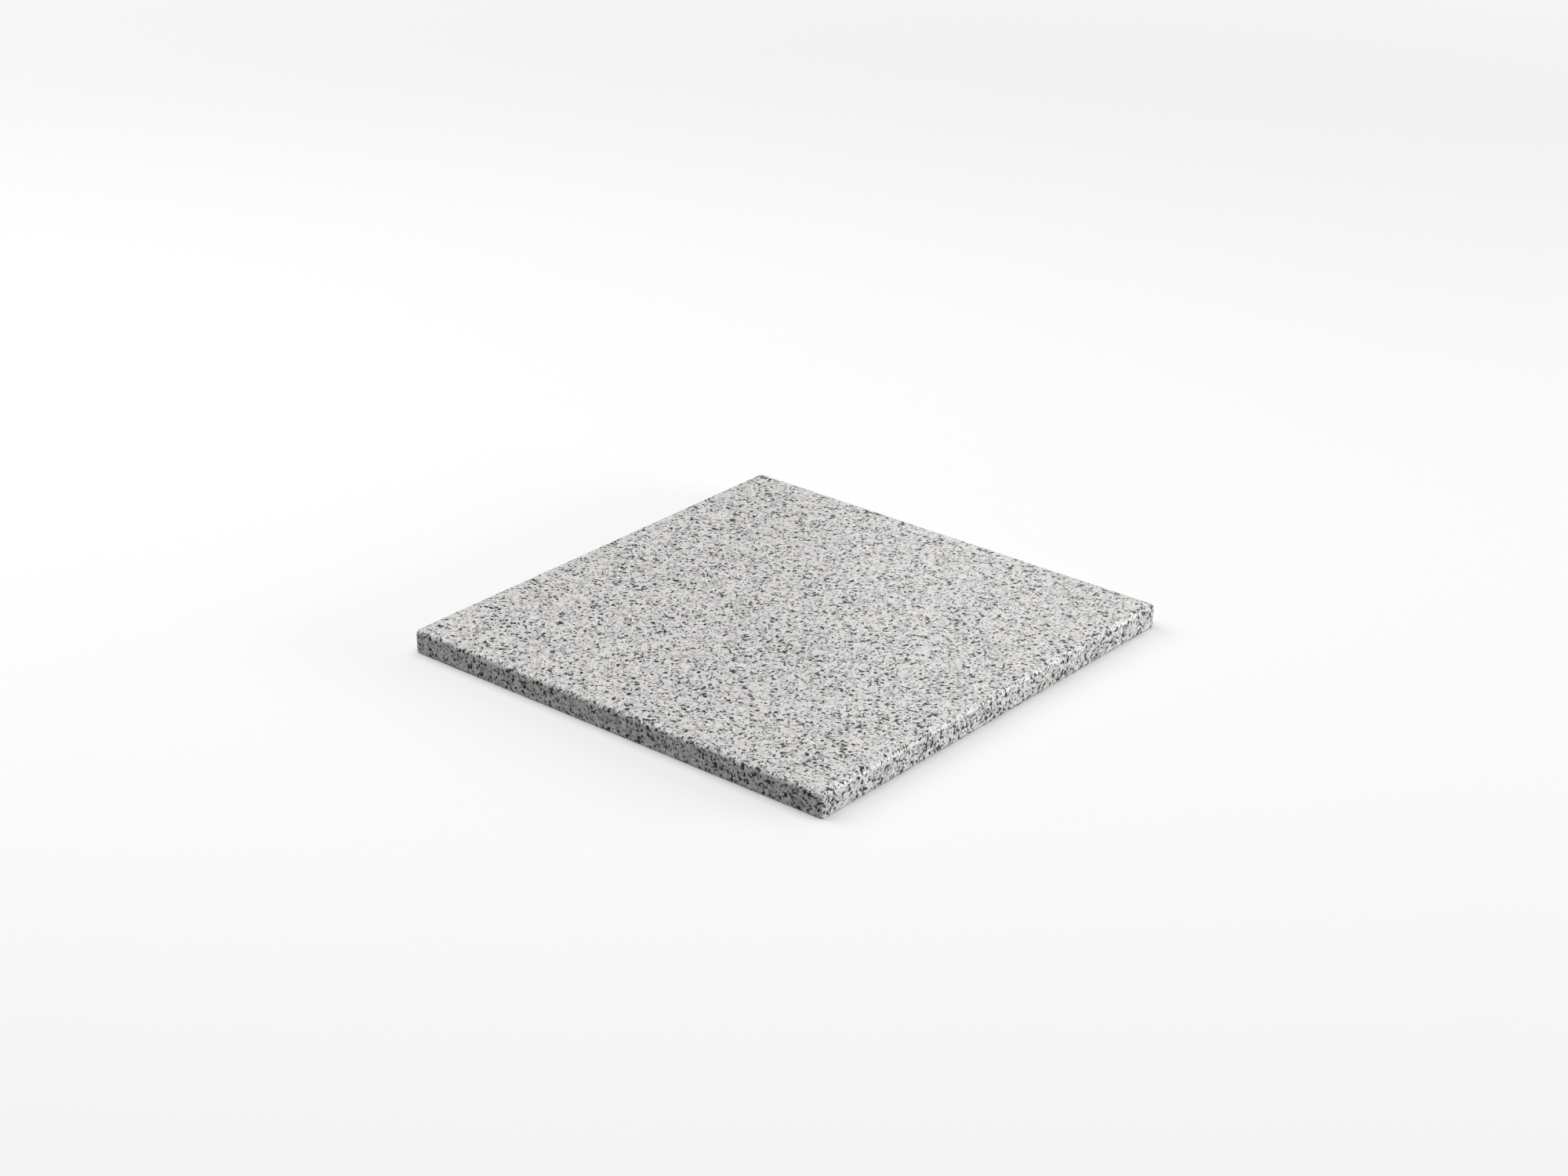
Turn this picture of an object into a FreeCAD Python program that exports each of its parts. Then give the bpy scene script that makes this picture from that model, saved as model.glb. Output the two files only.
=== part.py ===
import FreeCAD, Part
import os

# Granite tooling slab for leatherwork: one block of fine-grained granite, sawn to a flat square,
# with a polished working face, honed edge faces and a sawn underside.
# Units are millimetres. The origin is the middle of the resting face, and +Z points up
# through the working face. The edge faces are square to X and Y.

WIDTH = 300.0
DEPTH = 300.0
THICKNESS = 15.0
TOP_ARRIS_RADIUS = 3.0
BOTTOM_ARRIS_RADIUS = 1.2
CORNER_RADIUS = 1.2

PARTS_FOLDER = "parts"
SAME_HEIGHT = 1e-6


def sawn_block():
    """The block as it leaves the saw, with sharp arrises, centred on the origin in plan."""
    corner = FreeCAD.Vector(-WIDTH / 2, -DEPTH / 2, 0)
    return Part.makeBox(WIDTH, DEPTH, THICKNESS, corner)


def edges_at_height(block, height):
    """The edges that bound the face lying at this height."""
    return [
        edge
        for edge in block.Edges
        if all(abs(vertex.Z - height) < SAME_HEIGHT for vertex in edge.Vertexes)
    ]


def corner_edges(block):
    """The edges that climb the four corners of the plan, arris mitres included."""
    return [
        edge
        for edge in block.Edges
        if abs(edge.Vertexes[0].Z - edge.Vertexes[-1].Z) > SAME_HEIGHT
    ]


def granite_slab():
    """The finished slab: top arrises rounded first, then the corners, then the bottom arrises.

    The corners are eased after the top arrises, so each corner's round runs on over the
    mitre between two arrises and meets the working face.
    """
    block = sawn_block()
    block = block.makeFillet(TOP_ARRIS_RADIUS, edges_at_height(block, THICKNESS))
    block = block.makeFillet(CORNER_RADIUS, corner_edges(block))
    block = block.makeFillet(BOTTOM_ARRIS_RADIUS, edges_at_height(block, 0))
    return block.Solids[0]


os.makedirs(PARTS_FOLDER, exist_ok=True)
granite_slab().exportStep(os.path.join(PARTS_FOLDER, "granite_slab.step"))
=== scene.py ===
import math
import random

import bpy
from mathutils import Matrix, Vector, noise


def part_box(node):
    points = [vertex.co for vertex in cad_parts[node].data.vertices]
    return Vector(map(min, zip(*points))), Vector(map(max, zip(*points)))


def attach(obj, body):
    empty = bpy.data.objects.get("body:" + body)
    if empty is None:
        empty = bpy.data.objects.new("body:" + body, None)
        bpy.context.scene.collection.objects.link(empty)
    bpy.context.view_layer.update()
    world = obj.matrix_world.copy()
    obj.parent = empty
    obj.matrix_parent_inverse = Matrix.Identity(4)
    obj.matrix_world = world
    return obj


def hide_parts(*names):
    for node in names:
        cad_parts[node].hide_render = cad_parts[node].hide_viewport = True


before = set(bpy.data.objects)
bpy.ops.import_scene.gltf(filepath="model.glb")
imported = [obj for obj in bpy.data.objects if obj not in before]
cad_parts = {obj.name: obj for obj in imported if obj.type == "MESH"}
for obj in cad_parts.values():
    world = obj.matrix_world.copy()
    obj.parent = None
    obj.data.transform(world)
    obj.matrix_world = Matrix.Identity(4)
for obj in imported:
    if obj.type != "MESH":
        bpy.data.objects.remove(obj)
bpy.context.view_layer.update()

# ---------------------------------------------------------------------------------------------
# Sizes in metres. The slab's own box comes from the CAD slab in model.glb; its edge sizes repeat the
# CAD's.
# ---------------------------------------------------------------------------------------------
MM = 0.001
NODE = "granite_slab"
LOW, HIGH = (Vector(corner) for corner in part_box(NODE))
HALF = (HIGH.x - LOW.x) / 2
WIDTH = 2 * HALF

TOP_ARRIS = 3.0 * MM
BOTTOM_ARRIS = 1.2 * MM
CORNER = 1.2 * MM

# How much of its radius an upright corner loses at the inner end of an arris.
CORNER_EASE = 0.45

# The mesh: points along each side, those that turn half a corner, and rows up the edge. The
# flat faces are a coarser grid, which a ring of wide faces joins to the edge's finer rows.
SIDE_STEPS = 480
HALF_CORNER_STEPS = 4
FACE_STEPS = 60
BOTTOM_ARRIS_ROWS = 6
EDGE_ROWS = 12
TOP_ARRIS_ROWS = 10
SUPPORT = 0.25 * MM
FACE_MARGIN = 3.0 * MM

# The surface laid out flat on a square map of side 1, named OFBake: most of it is the top,
# with the edges as four strips above it and the underside beside it.
MAP_NAME = "OFBake"
TOP_MAP_LOW = 0.004
TOP_MAP_SPAN = 0.762
STRIPS_LOW = 0.772
STRIP_PITCH = 0.056
STRIP_SPAN = 0.050
UNDERSIDE_LEFT = 0.775
UNDERSIDE_SPAN = 0.221

# How uneven the hand-worked edges are. Chips' radii are in millimetres, and their depths are in
# parts of their radii.
ARRIS_WANDER = 0.07
ARRIS_WANDER_LENGTH = 24 * MM
CHIP_SEED = 11
BOTTOM_CHIPS = 14
TOP_CHIPS = 3
CHIP_RADII = (0.9, 1.7)
CHIP_DEPTHS = (0.15, 0.4)


# ---------------------------------------------------------------------------------------------
# The stone's mesh
# ---------------------------------------------------------------------------------------------
def ring_place(index, half, corner, height):
    """A point of a square ring with round corners, counted from the middle of one corner."""
    side, step = divmod(index, SIDE_STEPS)
    to_go = HALF_CORNER_STEPS - step
    past = step - (SIDE_STEPS - HALF_CORNER_STEPS)
    reach = half - corner
    if to_go > 0:
        angle = math.pi / 4 * to_go / HALF_CORNER_STEPS
        x, y = reach + corner * math.cos(angle), -reach - corner * math.sin(angle)
    elif past > 0:
        angle = math.pi / 4 * past / HALF_CORNER_STEPS
        x, y = reach + corner * math.cos(angle), reach + corner * math.sin(angle)
    else:
        along = (step - HALF_CORNER_STEPS) / (SIDE_STEPS - 2 * HALF_CORNER_STEPS)
        x, y = half, reach * (2 * along - 1)
    turn = side * math.pi / 2
    return Vector(
        (x * math.cos(turn) - y * math.sin(turn), x * math.sin(turn) + y * math.cos(turn), height)
    )


def wandering(radius, place):
    """An arris's radius at one place: polishing by hand makes it wander a little."""
    return radius * (1 + ARRIS_WANDER * noise.noise(place / ARRIS_WANDER_LENGTH))


def quarter_turn(rows):
    """The angles of the rows that round off one arris."""
    return [math.pi / 2 * row / rows for row in range(rows + 1)]


def edge_rows(bottom, top):
    """The inset and height of each row of points up the edge, for arrises of these radii."""
    rows = [(bottom + SUPPORT, LOW.z)]
    for angle in quarter_turn(BOTTOM_ARRIS_ROWS):
        rows.append((bottom * (1 - math.sin(angle)), LOW.z + bottom * (1 - math.cos(angle))))
    first, last = LOW.z + bottom + SUPPORT, HIGH.z - top - SUPPORT
    for row in range(EDGE_ROWS + 1):
        rows.append((0.0, first + (last - first) * row / EDGE_ROWS))
    for angle in quarter_turn(TOP_ARRIS_ROWS):
        rows.append((top * (1 - math.cos(angle)), HIGH.z - top * (1 - math.sin(angle))))
    rows.append((top + SUPPORT, HIGH.z))
    return rows


def chips():
    """Small scoops knocked out of the arrises: the centre and radius of each scooping ball."""
    rng = random.Random(CHIP_SEED)
    slant = math.sqrt(0.5)
    balls = []
    for count, level, inward, arris in (
        (BOTTOM_CHIPS, LOW.z, 1, BOTTOM_ARRIS),
        (TOP_CHIPS, HIGH.z, -1, TOP_ARRIS),
    ):
        for _ in range(count):
            index = rng.randrange(4 * SIDE_STEPS)
            radius = rng.uniform(*CHIP_RADII) * MM
            bite = rng.uniform(*CHIP_DEPTHS) * radius
            inset = arris * (1 - slant) + (bite - radius) * slant
            place = ring_place(index, HALF - inset, CORNER, level + inward * inset)
            balls.append((place, radius))
    return balls


def scooped(point, balls):
    """The point, pushed out of any ball that it lies in, to the ball's surface."""
    for centre, radius in balls:
        away = point - centre
        if away.length < radius:
            point = centre + away.normalized() * radius
    return point


def edge_points():
    """The points of the slab's edge, one row after another, and how many rows there are."""
    columns = []
    for index in range(4 * SIDE_STEPS):
        bottom = wandering(BOTTOM_ARRIS, ring_place(index, HALF, CORNER, LOW.z))
        top = wandering(TOP_ARRIS, ring_place(index, HALF, CORNER, HIGH.z))
        columns.append(edge_rows(bottom, top))
    balls = chips()
    points = []
    row_count = len(columns[0])
    for row in range(row_count):
        for index, column in enumerate(columns):
            inset, height = column[row]
            corner = CORNER * (1 - CORNER_EASE * min(1.0, inset / TOP_ARRIS))
            points.append(scooped(ring_place(index, HALF - inset, corner, height), balls))
    return points, row_count


def add_flat_face(points, faces, ring_start, height, upward):
    """Closes the slab above or below: a flat grid, and a ring that joins it to the edge."""
    half = HALF - TOP_ARRIS - FACE_MARGIN
    start = len(points)
    pitch = 2 * half / FACE_STEPS
    for column in range(FACE_STEPS + 1):
        for row in range(FACE_STEPS + 1):
            points.append(Vector((column * pitch - half, row * pitch - half, height)))

    def grid(column, row):
        return start + column * (FACE_STEPS + 1) + row

    def border(side, step):
        last = FACE_STEPS
        places = ((last, step), (last - step, last), (0, last - step), (step, 0))
        return grid(*places[side])

    made = []
    for column in range(FACE_STEPS):
        for row in range(FACE_STEPS):
            right, above = column + 1, row + 1
            made.append([grid(column, row), grid(right, row), grid(right, above), grid(column, above)])
    fine = SIDE_STEPS // FACE_STEPS
    for side in range(4):
        for step in range(FACE_STEPS):
            first = side * SIDE_STEPS + step * fine
            outer = [ring_start + (first + i) % (4 * SIDE_STEPS) for i in range(fine + 1)]
            made.append(outer + [border(side, step + 1), border(side, step)])
    faces.extend(made if upward else [face[::-1] for face in made])


def stone_mesh():
    """The slab as one closed mesh."""
    points, row_count = edge_points()
    ring = 4 * SIDE_STEPS
    faces = []
    for row in range(row_count - 1):
        for index in range(ring):
            low, high = row * ring, (row + 1) * ring
            after = (index + 1) % ring
            faces.append([low + index, low + after, high + after, high + index])
    add_flat_face(points, faces, 0, LOW.z, upward=False)
    add_flat_face(points, faces, (row_count - 1) * ring, HIGH.z, upward=True)
    mesh = bpy.data.meshes.new("granite_stone")
    mesh.from_pydata([tuple(point) for point in points], [], faces)
    mesh.update()
    for polygon in mesh.polygons:
        polygon.use_smooth = True
    add_map(mesh)
    return mesh


def add_map(mesh):
    """Lays the surface out flat: the top, its four edges as strips, and the underside."""
    # How far each row of points lies up the edge, measured along the surface.
    rows = edge_rows(BOTTOM_ARRIS, TOP_ARRIS)
    climb = [0.0]
    for below, above in zip(rows, rows[1:]):
        climb.append(climb[-1] + math.dist(below, above))

    # The edge's faces come first, one ring after another, and the flat faces come after them.
    layer = mesh.uv_layers.new(name=MAP_NAME)
    for polygon in mesh.polygons:
        row, index = divmod(polygon.index, 4 * SIDE_STEPS)
        side, step = divmod(index, SIDE_STEPS)
        corners = zip(polygon.loop_indices, polygon.vertices)
        for turn, (loop, vertex) in enumerate(corners):
            place = mesh.vertices[vertex].co / WIDTH
            if row < len(rows) - 1:
                along, up = ((0, 0), (1, 0), (1, 1), (0, 1))[turn]
                u = TOP_MAP_LOW + TOP_MAP_SPAN * (step + along) / SIDE_STEPS
                v = STRIPS_LOW + STRIP_PITCH * side + STRIP_SPAN * climb[row + up] / climb[-1]
            elif polygon.normal.z > 0:
                u = TOP_MAP_LOW + TOP_MAP_SPAN * (0.5 + place.x)
                v = TOP_MAP_LOW + TOP_MAP_SPAN * (0.5 + place.y)
            else:
                u = UNDERSIDE_LEFT + UNDERSIDE_SPAN * (0.5 - place.x)
                v = TOP_MAP_LOW + UNDERSIDE_SPAN * (0.5 + place.y)
            layer.uv[loop].vector = (u, v)


# ---------------------------------------------------------------------------------------------
# Node helpers
# ---------------------------------------------------------------------------------------------
class Nodes:
    """Short calls for building a material's node tree."""

    def __init__(self, tree):
        self.tree = tree

    def add(self, kind, settings=None, **inputs):
        """A node of this kind, with its settings and its inputs set or linked by name."""
        node = self.tree.nodes.new("ShaderNode" + kind)
        for name, value in (settings or {}).items():
            setattr(node, name, value)
        for name, value in inputs.items():
            self.feed(node.inputs[name.replace("_", " ")], value)
        return node

    def feed(self, socket, value):
        """Links another node's socket, or sets a plain value."""
        if isinstance(value, bpy.types.NodeSocket):
            self.tree.links.new(value, socket)
        else:
            socket.default_value = value

    def math(self, operation, *values):
        """One step of arithmetic on plain numbers."""
        node = self.add("Math", {"operation": operation})
        for socket, value in zip(node.inputs, values):
            self.feed(socket, value)
        return node.outputs[0]

    def vector(self, operation, first, second=None, scale=None):
        """One step of arithmetic on vectors, some of which take a plain number to scale by."""
        node = self.add("VectorMath", {"operation": operation})
        self.feed(node.inputs[0], first)
        if second is not None:
            self.feed(node.inputs[1], second)
        if scale is not None:
            self.feed(node.inputs["Scale"], scale)
        return node.outputs[0]

    def ramp(self, value, low, high, to_low=0.0, to_high=1.0, smooth=True):
        """The value's place between low and high, mapped to the new range and kept inside it."""
        kind = "SMOOTHSTEP" if smooth else "LINEAR"
        node = self.add("MapRange", {"interpolation_type": kind, "clamp": True})
        for socket, number in zip(node.inputs, (value, low, high, to_low, to_high)):
            self.feed(socket, number)
        return node.outputs[0]

    def blend(self, factor, first, second):
        """A colour between first and second."""
        node = self.add("Mix", {"data_type": "RGBA", "clamp_factor": True})
        self.feed(node.inputs[0], factor)
        self.feed(node.inputs[6], first)
        self.feed(node.inputs[7], second)
        return node.outputs[2]

    def multiplied(self, first, second):
        """One colour times another."""
        node = self.add("Mix", {"data_type": "RGBA", "blend_type": "MULTIPLY"})
        self.feed(node.inputs[0], 1.0)
        self.feed(node.inputs[6], first)
        self.feed(node.inputs[7], second)
        return node.outputs[2]

    def noise(self, place, size, detail=2.0, rough=0.5, colour=False):
        """Fractal noise whose features are about this size."""
        node = self.add("TexNoise", Vector=place, Scale=1.0 / size, Detail=detail, Roughness=rough)
        return node.outputs["Color" if colour else "Fac"]

    def cells(self, place, size, feature="F1"):
        """Voronoi cells of about this size."""
        node = self.add("TexVoronoi", {"feature": feature}, Vector=place, Scale=1.0 / size)
        return node.outputs

    def parts(self, colour):
        """A colour's red, green and blue."""
        return self.add("SeparateColor", Color=colour).outputs


def grey(level, warmth=0.0):
    """A near-grey colour: warmth above nought leans to beige, and below it to blue."""
    return (level * (1 + warmth), level, level * (1 - warmth), 1.0)


# ---------------------------------------------------------------------------------------------
# The granite: one pattern that fills the stone, so it runs unbroken over every edge. Its sizes
# are in millimetres, and a share is how many of the cells hold the mineral: the first number
# where the stone is palest, and the second where its dark minerals crowd together.
# ---------------------------------------------------------------------------------------------
HONED_FELDSPAR = grey(0.84)
POLISHED_FELDSPAR = grey(0.75)
DULL_FELDSPAR = grey(0.66, 0.006)
HAZE = grey(0.50)
CLOUD = grey(0.42, 0.01)
QUARTZ = (grey(0.28, -0.004), grey(0.50, 0.008))
SPECKS = (grey(0.06, -0.02), grey(0.32, 0.02))
FINE_THREADS = (grey(0.06, -0.04), grey(0.22))
MICA = (grey(0.006, -0.10), grey(0.045))
SAWN_STONE = grey(0.55, 0.01)
# The upper arris's paler colour: partly rubbed wear, partly a painted highlight.
RUBBED_AND_HIGHLIT_STONE = grey(0.74, 0.01)

QUARTZ_SHARE = (0.12, 0.30)
SPECK_SHARE = (0.09, 0.22)
MICA_SHARE = (0.075, 0.27)
SPOT_RANGE = (0.65, 1.35)
EDGE_CROWDING = 0.28

CREAM_TINT = (1.0, 0.990, 0.978, 1.0)
BEIGE_TINT = (1.0, 0.984, 0.938, 1.0)
LILAC_TINT = (0.99, 0.965, 1.0, 1.0)

REFRACTION = 1.54
SHEEN_LEVEL = 0.35
HONED_ROUGHNESS = 0.38
POLISHED_ROUGHNESS = 0.15

# Heights of the surface's relief in millimetres.
HONED_GRIT = 0.010
POLISHED_GRIT = 0.0008
MICA_SINK = -0.006
SAW_MARKS = 0.06


def warped(nodes, place, size, strength):
    """The place, pushed about by noise, so that grain outlines are ragged."""
    push = nodes.vector("SUBTRACT", nodes.noise(place, size, colour=True), (0.5, 0.5, 0.5))
    return nodes.vector("ADD", place, nodes.vector("SCALE", push, scale=strength))


def grains(nodes, place, size, share):
    """Whole cells chosen at random: a mask, and each cell's own tone from 0 to 1."""
    chance = nodes.parts(nodes.cells(place, size)["Color"])
    return nodes.math("LESS_THAN", chance[0], share), chance[1]


def spots(nodes, place, size, share, radius, soft):
    """A round spot in each chosen cell, its mean radius and softness in parts of the cell's size."""
    cell = nodes.cells(place, size)
    chance = nodes.parts(cell["Color"])
    chosen = nodes.math("LESS_THAN", chance[0], share)
    least, most = (radius * part for part in SPOT_RANGE)
    reach = nodes.ramp(chance[2], 0, 1, least, most, smooth=False)
    inside = nodes.math("SUBTRACT", reach, cell["Distance"])
    return nodes.math("MULTIPLY", chosen, nodes.ramp(inside, -soft, soft)), chance[1]


def seams(nodes, place, size, width, soft):
    """Threads along the borders of cells: width is half a thread's, in parts of the cell's size."""
    edge = nodes.cells(place, size, "DISTANCE_TO_EDGE")["Distance"]
    return nodes.ramp(nodes.math("SUBTRACT", width, edge), -soft, soft)


def crowding(nodes, place):
    """Where the dark minerals crowd together, from 0 to 1."""
    broad = nodes.math("MULTIPLY", nodes.noise(place, size=40.0, detail=1.0), 0.15)
    near = nodes.noise(place, size=4.0, detail=1.0)
    return nodes.ramp(nodes.math("MULTIPLY_ADD", near, 0.85, broad), 0.30, 0.72)


def pale_minerals(nodes, place, bent, ragged, polished, crowd):
    """Off-white feldspar grains with a milky haze inside, and glassy grey quartz."""
    tone = nodes.parts(nodes.cells(ragged, size=3.0)["Color"])[0]
    pale = nodes.blend(polished, HONED_FELDSPAR, POLISHED_FELDSPAR)
    colour = nodes.blend(tone, pale, DULL_FELDSPAR)
    haze = nodes.noise(place, size=1.4, detail=3.0, rough=0.65)
    colour = nodes.blend(nodes.ramp(haze, 0.46, 0.74, 0.0, 0.60), colour, HAZE)
    cloud = nodes.noise(bent, size=3.4, rough=0.6)
    colour = nodes.blend(nodes.ramp(cloud, 0.46, 0.70, 0.0, 0.38), colour, CLOUD)

    mask, tone = grains(nodes, ragged, size=1.9, share=nodes.ramp(crowd, 0, 1, *QUARTZ_SHARE))
    return nodes.blend(nodes.math("MULTIPLY", mask, 0.75), colour, nodes.blend(tone, *QUARTZ))


def fine_threads(nodes, bent, ragged, crowd):
    """A mask of thin broken threads of mica along the borders of small grains."""
    swell = nodes.noise(bent, size=1.3, detail=1.0, rough=0.6)
    swell = nodes.math("MULTIPLY_ADD", crowd, 0.05, swell)
    width = nodes.ramp(swell, 0.53, 0.76, -0.06, 0.18)
    return nodes.math("MULTIPLY", seams(nodes, ragged, size=1.5, width=width, soft=0.05), 0.5)


def coarse_threads(nodes, place, ragged, crowd):
    """A mask of thicker broken threads of mica along the borders of larger grains."""
    swell = nodes.noise(place, size=1.8, rough=0.6)
    swell = nodes.math("MULTIPLY_ADD", crowd, 0.06, swell)
    width = nodes.ramp(swell, 0.53, 0.75, -0.05, 0.32)
    return seams(nodes, ragged, size=2.7, width=width, soft=0.035)


def minerals(nodes, place, polished):
    """The stone's colour, and a mask of its dark grains; place is in millimetres."""
    bent = warped(nodes, place, size=5.0, strength=2.4)
    ragged = warped(nodes, bent, size=1.0, strength=0.9)
    frayed = warped(nodes, bent, size=0.7, strength=0.7)
    torn = warped(nodes, ragged, size=0.6, strength=0.6)
    honed = nodes.math("SUBTRACT", 1.0, polished)
    crowd = nodes.math("MULTIPLY_ADD", honed, EDGE_CROWDING, crowding(nodes, place))
    colour = pale_minerals(nodes, place, bent, ragged, polished, crowd)

    # Small grey specks.
    share = nodes.ramp(crowd, 0, 1, *SPECK_SHARE)
    mask, tone = spots(nodes, frayed, size=1.15, share=share, radius=0.42, soft=0.14)
    colour = nodes.blend(nodes.math("MULTIPLY", mask, 0.8), colour, nodes.blend(tone, *SPECKS))

    # Black mica: broken threads along the grain borders, fine and coarse, and spots.
    shade = nodes.ramp(nodes.noise(place, size=2.0, detail=1.0), 0.35, 0.65)
    fine = fine_threads(nodes, bent, ragged, crowd)
    colour = nodes.blend(fine, colour, nodes.blend(shade, *FINE_THREADS))
    coarse = coarse_threads(nodes, place, ragged, crowd)
    colour = nodes.blend(coarse, colour, nodes.blend(shade, *MICA))
    share = nodes.ramp(crowd, 0, 1, *MICA_SHARE)
    mica, tone = spots(nodes, torn, size=2.2, share=share, radius=0.44, soft=0.07)
    colour = nodes.blend(mica, colour, nodes.blend(tone, *MICA))
    return tinted(nodes, colour, place, crowd), nodes.math("MAXIMUM", coarse, mica)


def tinted(nodes, colour, place, crowd):
    """The colour, leaning to beige in patches and to lilac where the dark grains crowd."""
    patch = nodes.ramp(nodes.noise(place, size=6.0), 0.38, 0.62)
    tint = nodes.blend(patch, CREAM_TINT, BEIGE_TINT)
    lilac = nodes.ramp(nodes.noise(place, size=4.0, detail=1.0), 0.42, 0.60)
    lilac = nodes.math("MULTIPLY", lilac, nodes.ramp(crowd, 0.3, 1.0))
    return nodes.multiplied(colour, nodes.blend(lilac, tint, LILAC_TINT))


def surface_relief(nodes, place, dark, polished, sawn):
    """The surface's height in millimetres: polishing leaves the mica a little lower, honing
    leaves the edges finely uneven, and the saw leaves marks across the underside."""
    grit = nodes.ramp(polished, 0, 1, HONED_GRIT, POLISHED_GRIT)
    grit = nodes.math("MULTIPLY", nodes.noise(place, size=0.5, detail=3.0), grit)
    relief = nodes.math("MULTIPLY_ADD", dark, MICA_SINK, grit)
    stretched = nodes.vector("MULTIPLY", place, (0.03, 1.0, 0.0))
    marks = nodes.math("MULTIPLY", nodes.noise(stretched, size=0.9), sawn)
    return nodes.math("MULTIPLY_ADD", marks, SAW_MARKS, relief)


def granite():
    """The stone: its top is polished, its edges are honed, and its underside is as sawn."""
    material = bpy.data.materials.new("granite")
    material.use_nodes = True
    tree = material.node_tree
    tree.nodes.clear()
    nodes = Nodes(tree)

    coordinates = nodes.add("TexCoord").outputs
    place = nodes.vector("SCALE", coordinates["Object"], scale=1 / MM)
    facing = nodes.add("SeparateXYZ", Vector=coordinates["Normal"]).outputs[2]
    polished = nodes.ramp(facing, 0.90, 0.995)
    sawn = nodes.ramp(facing, -0.90, -0.995)

    colour, dark = minerals(nodes, place, polished)
    colour = nodes.blend(nodes.math("MULTIPLY", sawn, 0.35), colour, SAWN_STONE)
    rough = nodes.ramp(facing, 0.20, 0.995, HONED_ROUGHNESS, POLISHED_ROUGHNESS)
    rough = nodes.math("MULTIPLY_ADD", sawn, 0.24, rough)
    rough = nodes.math("MULTIPLY_ADD", dark, 0.10, rough)
    smears = nodes.noise(place, size=3.0, detail=3.0)
    rough = nodes.math("MULTIPLY_ADD", smears, 0.06, rough)

    # Handling has rubbed the upper arris duller in places, and its paler colour there is partly that
    # wear and partly a painted highlight.
    arris = nodes.math("MULTIPLY", nodes.ramp(facing, 0.25, 0.60), nodes.ramp(facing, 0.995, 0.90))
    patches = nodes.ramp(nodes.noise(place, size=7.0, detail=3.0), 0.48, 0.62)
    rubbed_and_highlit = nodes.math("MULTIPLY", arris, patches)
    colour = nodes.blend(nodes.math("MULTIPLY", rubbed_and_highlit, 0.14), colour, RUBBED_AND_HIGHLIT_STONE)
    rough = nodes.math("MULTIPLY_ADD", rubbed_and_highlit, 0.08, rough)

    height = surface_relief(nodes, place, dark, polished, sawn)
    bump = nodes.add("Bump", Strength=1.0, Distance=MM, Height=height)
    shader = nodes.add(
        "BsdfPrincipled",
        Base_Color=colour,
        Roughness=rough,
        IOR=REFRACTION,
        Specular_IOR_Level=SHEEN_LEVEL,
        Normal=bump.outputs[0],
    )
    output = nodes.add("OutputMaterial")
    tree.links.new(shader.outputs[0], output.inputs["Surface"])
    return material


# ---------------------------------------------------------------------------------------------
# The slab
# ---------------------------------------------------------------------------------------------
def make_slab():
    """The stone in its place, in the CAD slab's stead."""
    slab = bpy.data.objects.new("polished_granite_slab", stone_mesh())
    bpy.context.scene.collection.objects.link(slab)
    slab.data.materials.append(granite())
    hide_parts(NODE)
    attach(slab, "root")


# ---------------------------------------------------------------------------------------------
# Studio: floor, lights, backdrop and camera
# ---------------------------------------------------------------------------------------------
# The floor's paper is solid out to the first distance from its middle, and gone at the second.
FLOOR_REACH = 3.0
PAPER_SOLID = 0.7
PAPER_GONE = 2.0
PAPER_WHITE = (0.86, 0.86, 0.86, 1.0)
PAPER_ROUGHNESS = 0.9

# How bright the lamps' faces are, and the backdrop: as the stone sees it and as the camera does.
OVERHEAD_RADIANCE = 2.2
RIGHT_RADIANCE = 16.9
BACK_RADIANCE = 0.67
LEFT_RADIANCE = 2.75
LAMP_DISTANCE = 2.4
DIM_LIGHT = 0.245
BACKDROP_SEEN = 0.95

# The lens and the sensor are in millimetres, and the angles are in degrees.
CAMERA_AZIMUTH = 40.384
CAMERA_ELEVATION = 24.937
CAMERA_DISTANCE = 6.047 * WIDTH
CAMERA_TARGET = Vector((-0.15719 * WIDTH, 0.17226 * WIDTH, 0.0))
LENS = 70.02
SENSOR_WIDTH = 36


def toward(azimuth, elevation):
    """A direction away from the slab: azimuth 0 is towards -Y, and 90 towards +X."""
    a, e = math.radians(azimuth), math.radians(elevation)
    return Vector((math.sin(a) * math.cos(e), -math.cos(a) * math.cos(e), math.sin(e)))


def studio_paper():
    """White paper that fades into the backdrop well away from the slab."""
    material = bpy.data.materials.new("studio_paper")
    material.use_nodes = True
    tree = material.node_tree
    tree.nodes.clear()
    nodes = Nodes(tree)
    flat = nodes.vector("MULTIPLY", nodes.add("TexCoord").outputs["Object"], (1.0, 1.0, 0.0))
    away = nodes.add("VectorMath", {"operation": "LENGTH"})
    nodes.feed(away.inputs[0], flat)
    fade = nodes.ramp(away.outputs["Value"], PAPER_SOLID, PAPER_GONE)
    paper = nodes.add("BsdfPrincipled", Base_Color=PAPER_WHITE, Roughness=PAPER_ROUGHNESS)
    paper.inputs["Specular IOR Level"].default_value = 0.0
    mixed = nodes.add("MixShader", Fac=fade)
    tree.links.new(paper.outputs[0], mixed.inputs[1])
    tree.links.new(nodes.add("BsdfTransparent").outputs[0], mixed.inputs[2])
    tree.links.new(mixed.outputs[0], nodes.add("OutputMaterial").inputs["Surface"])
    return material


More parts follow.
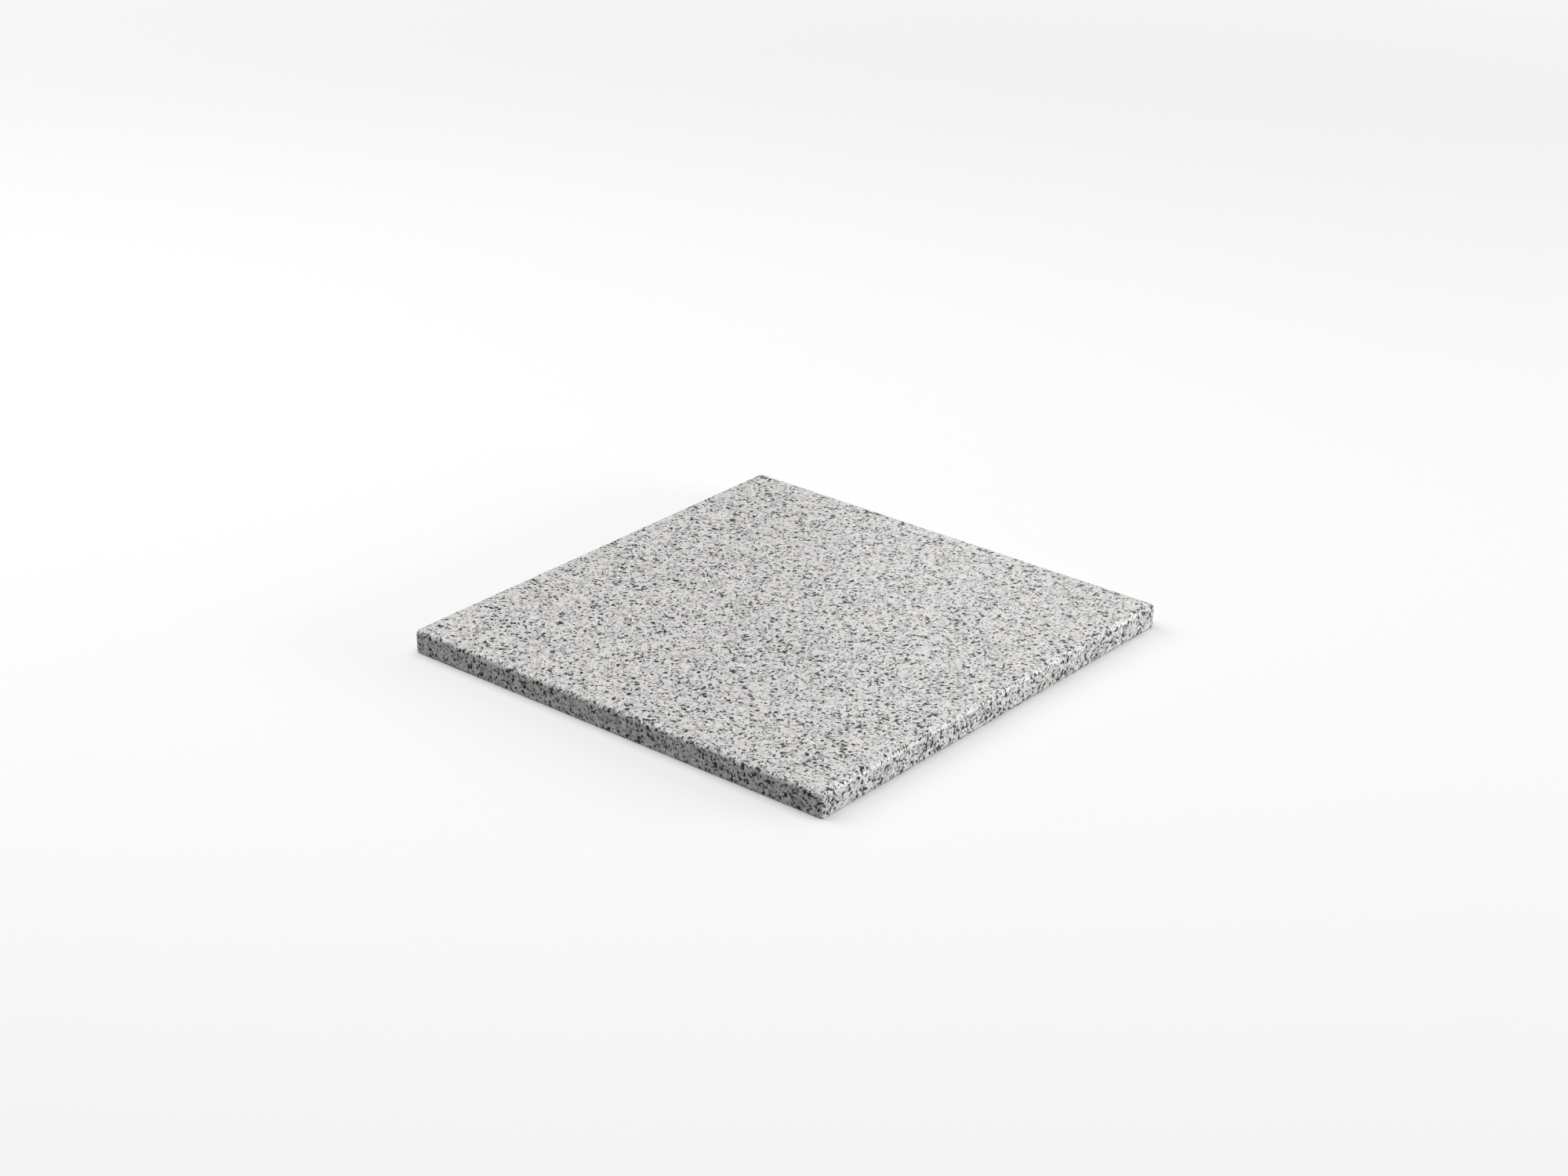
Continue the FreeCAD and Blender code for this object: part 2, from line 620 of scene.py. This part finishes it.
def make_floor():
    """The floor, which the stone neither mirrors nor takes light from."""
    mesh = bpy.data.meshes.new("studio_floor")
    reach = FLOOR_REACH
    corners = [(-reach, -reach, 0), (reach, -reach, 0), (reach, reach, 0), (-reach, reach, 0)]
    mesh.from_pydata(corners, [], [(0, 1, 2, 3)])
    floor = bpy.data.objects.new("studio_floor", mesh)
    bpy.context.scene.collection.objects.link(floor)
    mesh.materials.append(studio_paper())
    floor.visible_diffuse = False
    floor.visible_glossy = False


def soft_lamp(name, place, aim, size, radiance, shape="RECTANGLE"):
    """A flat lamp that only the stone and the floor see, as bright as this over its whole face."""
    data = bpy.data.lights.new(name, "AREA")
    data.shape = shape
    data.size, data.size_y = size
    # An even lamp's power is its area times its radiance times pi.
    face = size[0] * size[1] * (math.pi / 4 if shape == "ELLIPSE" else 1)
    data.energy = radiance * math.pi * face
    lamp = bpy.data.objects.new(name, data)
    lamp.location = place
    lamp.rotation_mode = "QUATERNION"
    lamp.rotation_quaternion = (Vector(aim) - Vector(place)).to_track_quat("-Z", "Y")
    lamp.visible_camera = False
    bpy.context.scene.collection.objects.link(lamp)


def make_lights():
    """Four large soft lamps: above, low on the right, behind, and high on the left."""
    soft_lamp(
        "overhead_softbox",
        place=(0, 0, 2.2),
        aim=(0, 0, 0),
        size=(2.5, 2.5),
        radiance=OVERHEAD_RADIANCE,
        shape="ELLIPSE",
    )
    soft_lamp(
        "right_strip",
        place=toward(120, 6) * LAMP_DISTANCE,
        aim=(0, 0, 0.25),
        size=(1.75, 0.5),
        radiance=RIGHT_RADIANCE,
    )
    soft_lamp(
        "back_panel",
        place=(0.03, 2.05, 1.2),
        aim=(0.03, 0, 1.2),
        size=(3.34, 1.5),
        radiance=BACK_RADIANCE,
    )
    soft_lamp(
        "left_softbox",
        place=toward(285, 42) * LAMP_DISTANCE,
        aim=(0, 0, 0),
        size=(1.66, 1.5),
        radiance=LEFT_RADIANCE,
    )


def make_backdrop():
    """A pale backdrop for the camera, that lights the stone only dimly."""
    world = bpy.data.worlds.new("studio")
    world.use_nodes = True
    tree = world.node_tree
    tree.nodes.clear()
    nodes = Nodes(tree)
    seen = nodes.add("LightPath").outputs["Is Camera Ray"]
    strength = nodes.ramp(seen, 0, 1, DIM_LIGHT, BACKDROP_SEEN, smooth=False)
    background = nodes.add("Background", Color=(1, 1, 1, 1), Strength=strength)
    tree.links.new(background.outputs[0], nodes.add("OutputWorld").inputs["Surface"])
    bpy.context.scene.world = world


def make_camera():
    """A three-quarter view of the slab, from a little above."""
    data = bpy.data.cameras.new("camera")
    data.sensor_width = SENSOR_WIDTH
    data.lens = LENS
    camera = bpy.data.objects.new("camera", data)
    back = toward(CAMERA_AZIMUTH, CAMERA_ELEVATION)
    camera.location = CAMERA_TARGET + back * CAMERA_DISTANCE
    camera.rotation_mode = "QUATERNION"
    camera.rotation_quaternion = (-back).to_track_quat("-Z", "Y")
    bpy.context.scene.collection.objects.link(camera)
    bpy.context.scene.camera = camera


make_slab()
make_floor()
make_lights()
make_backdrop()
make_camera()
bpy.context.scene.view_settings.view_transform = "Standard"
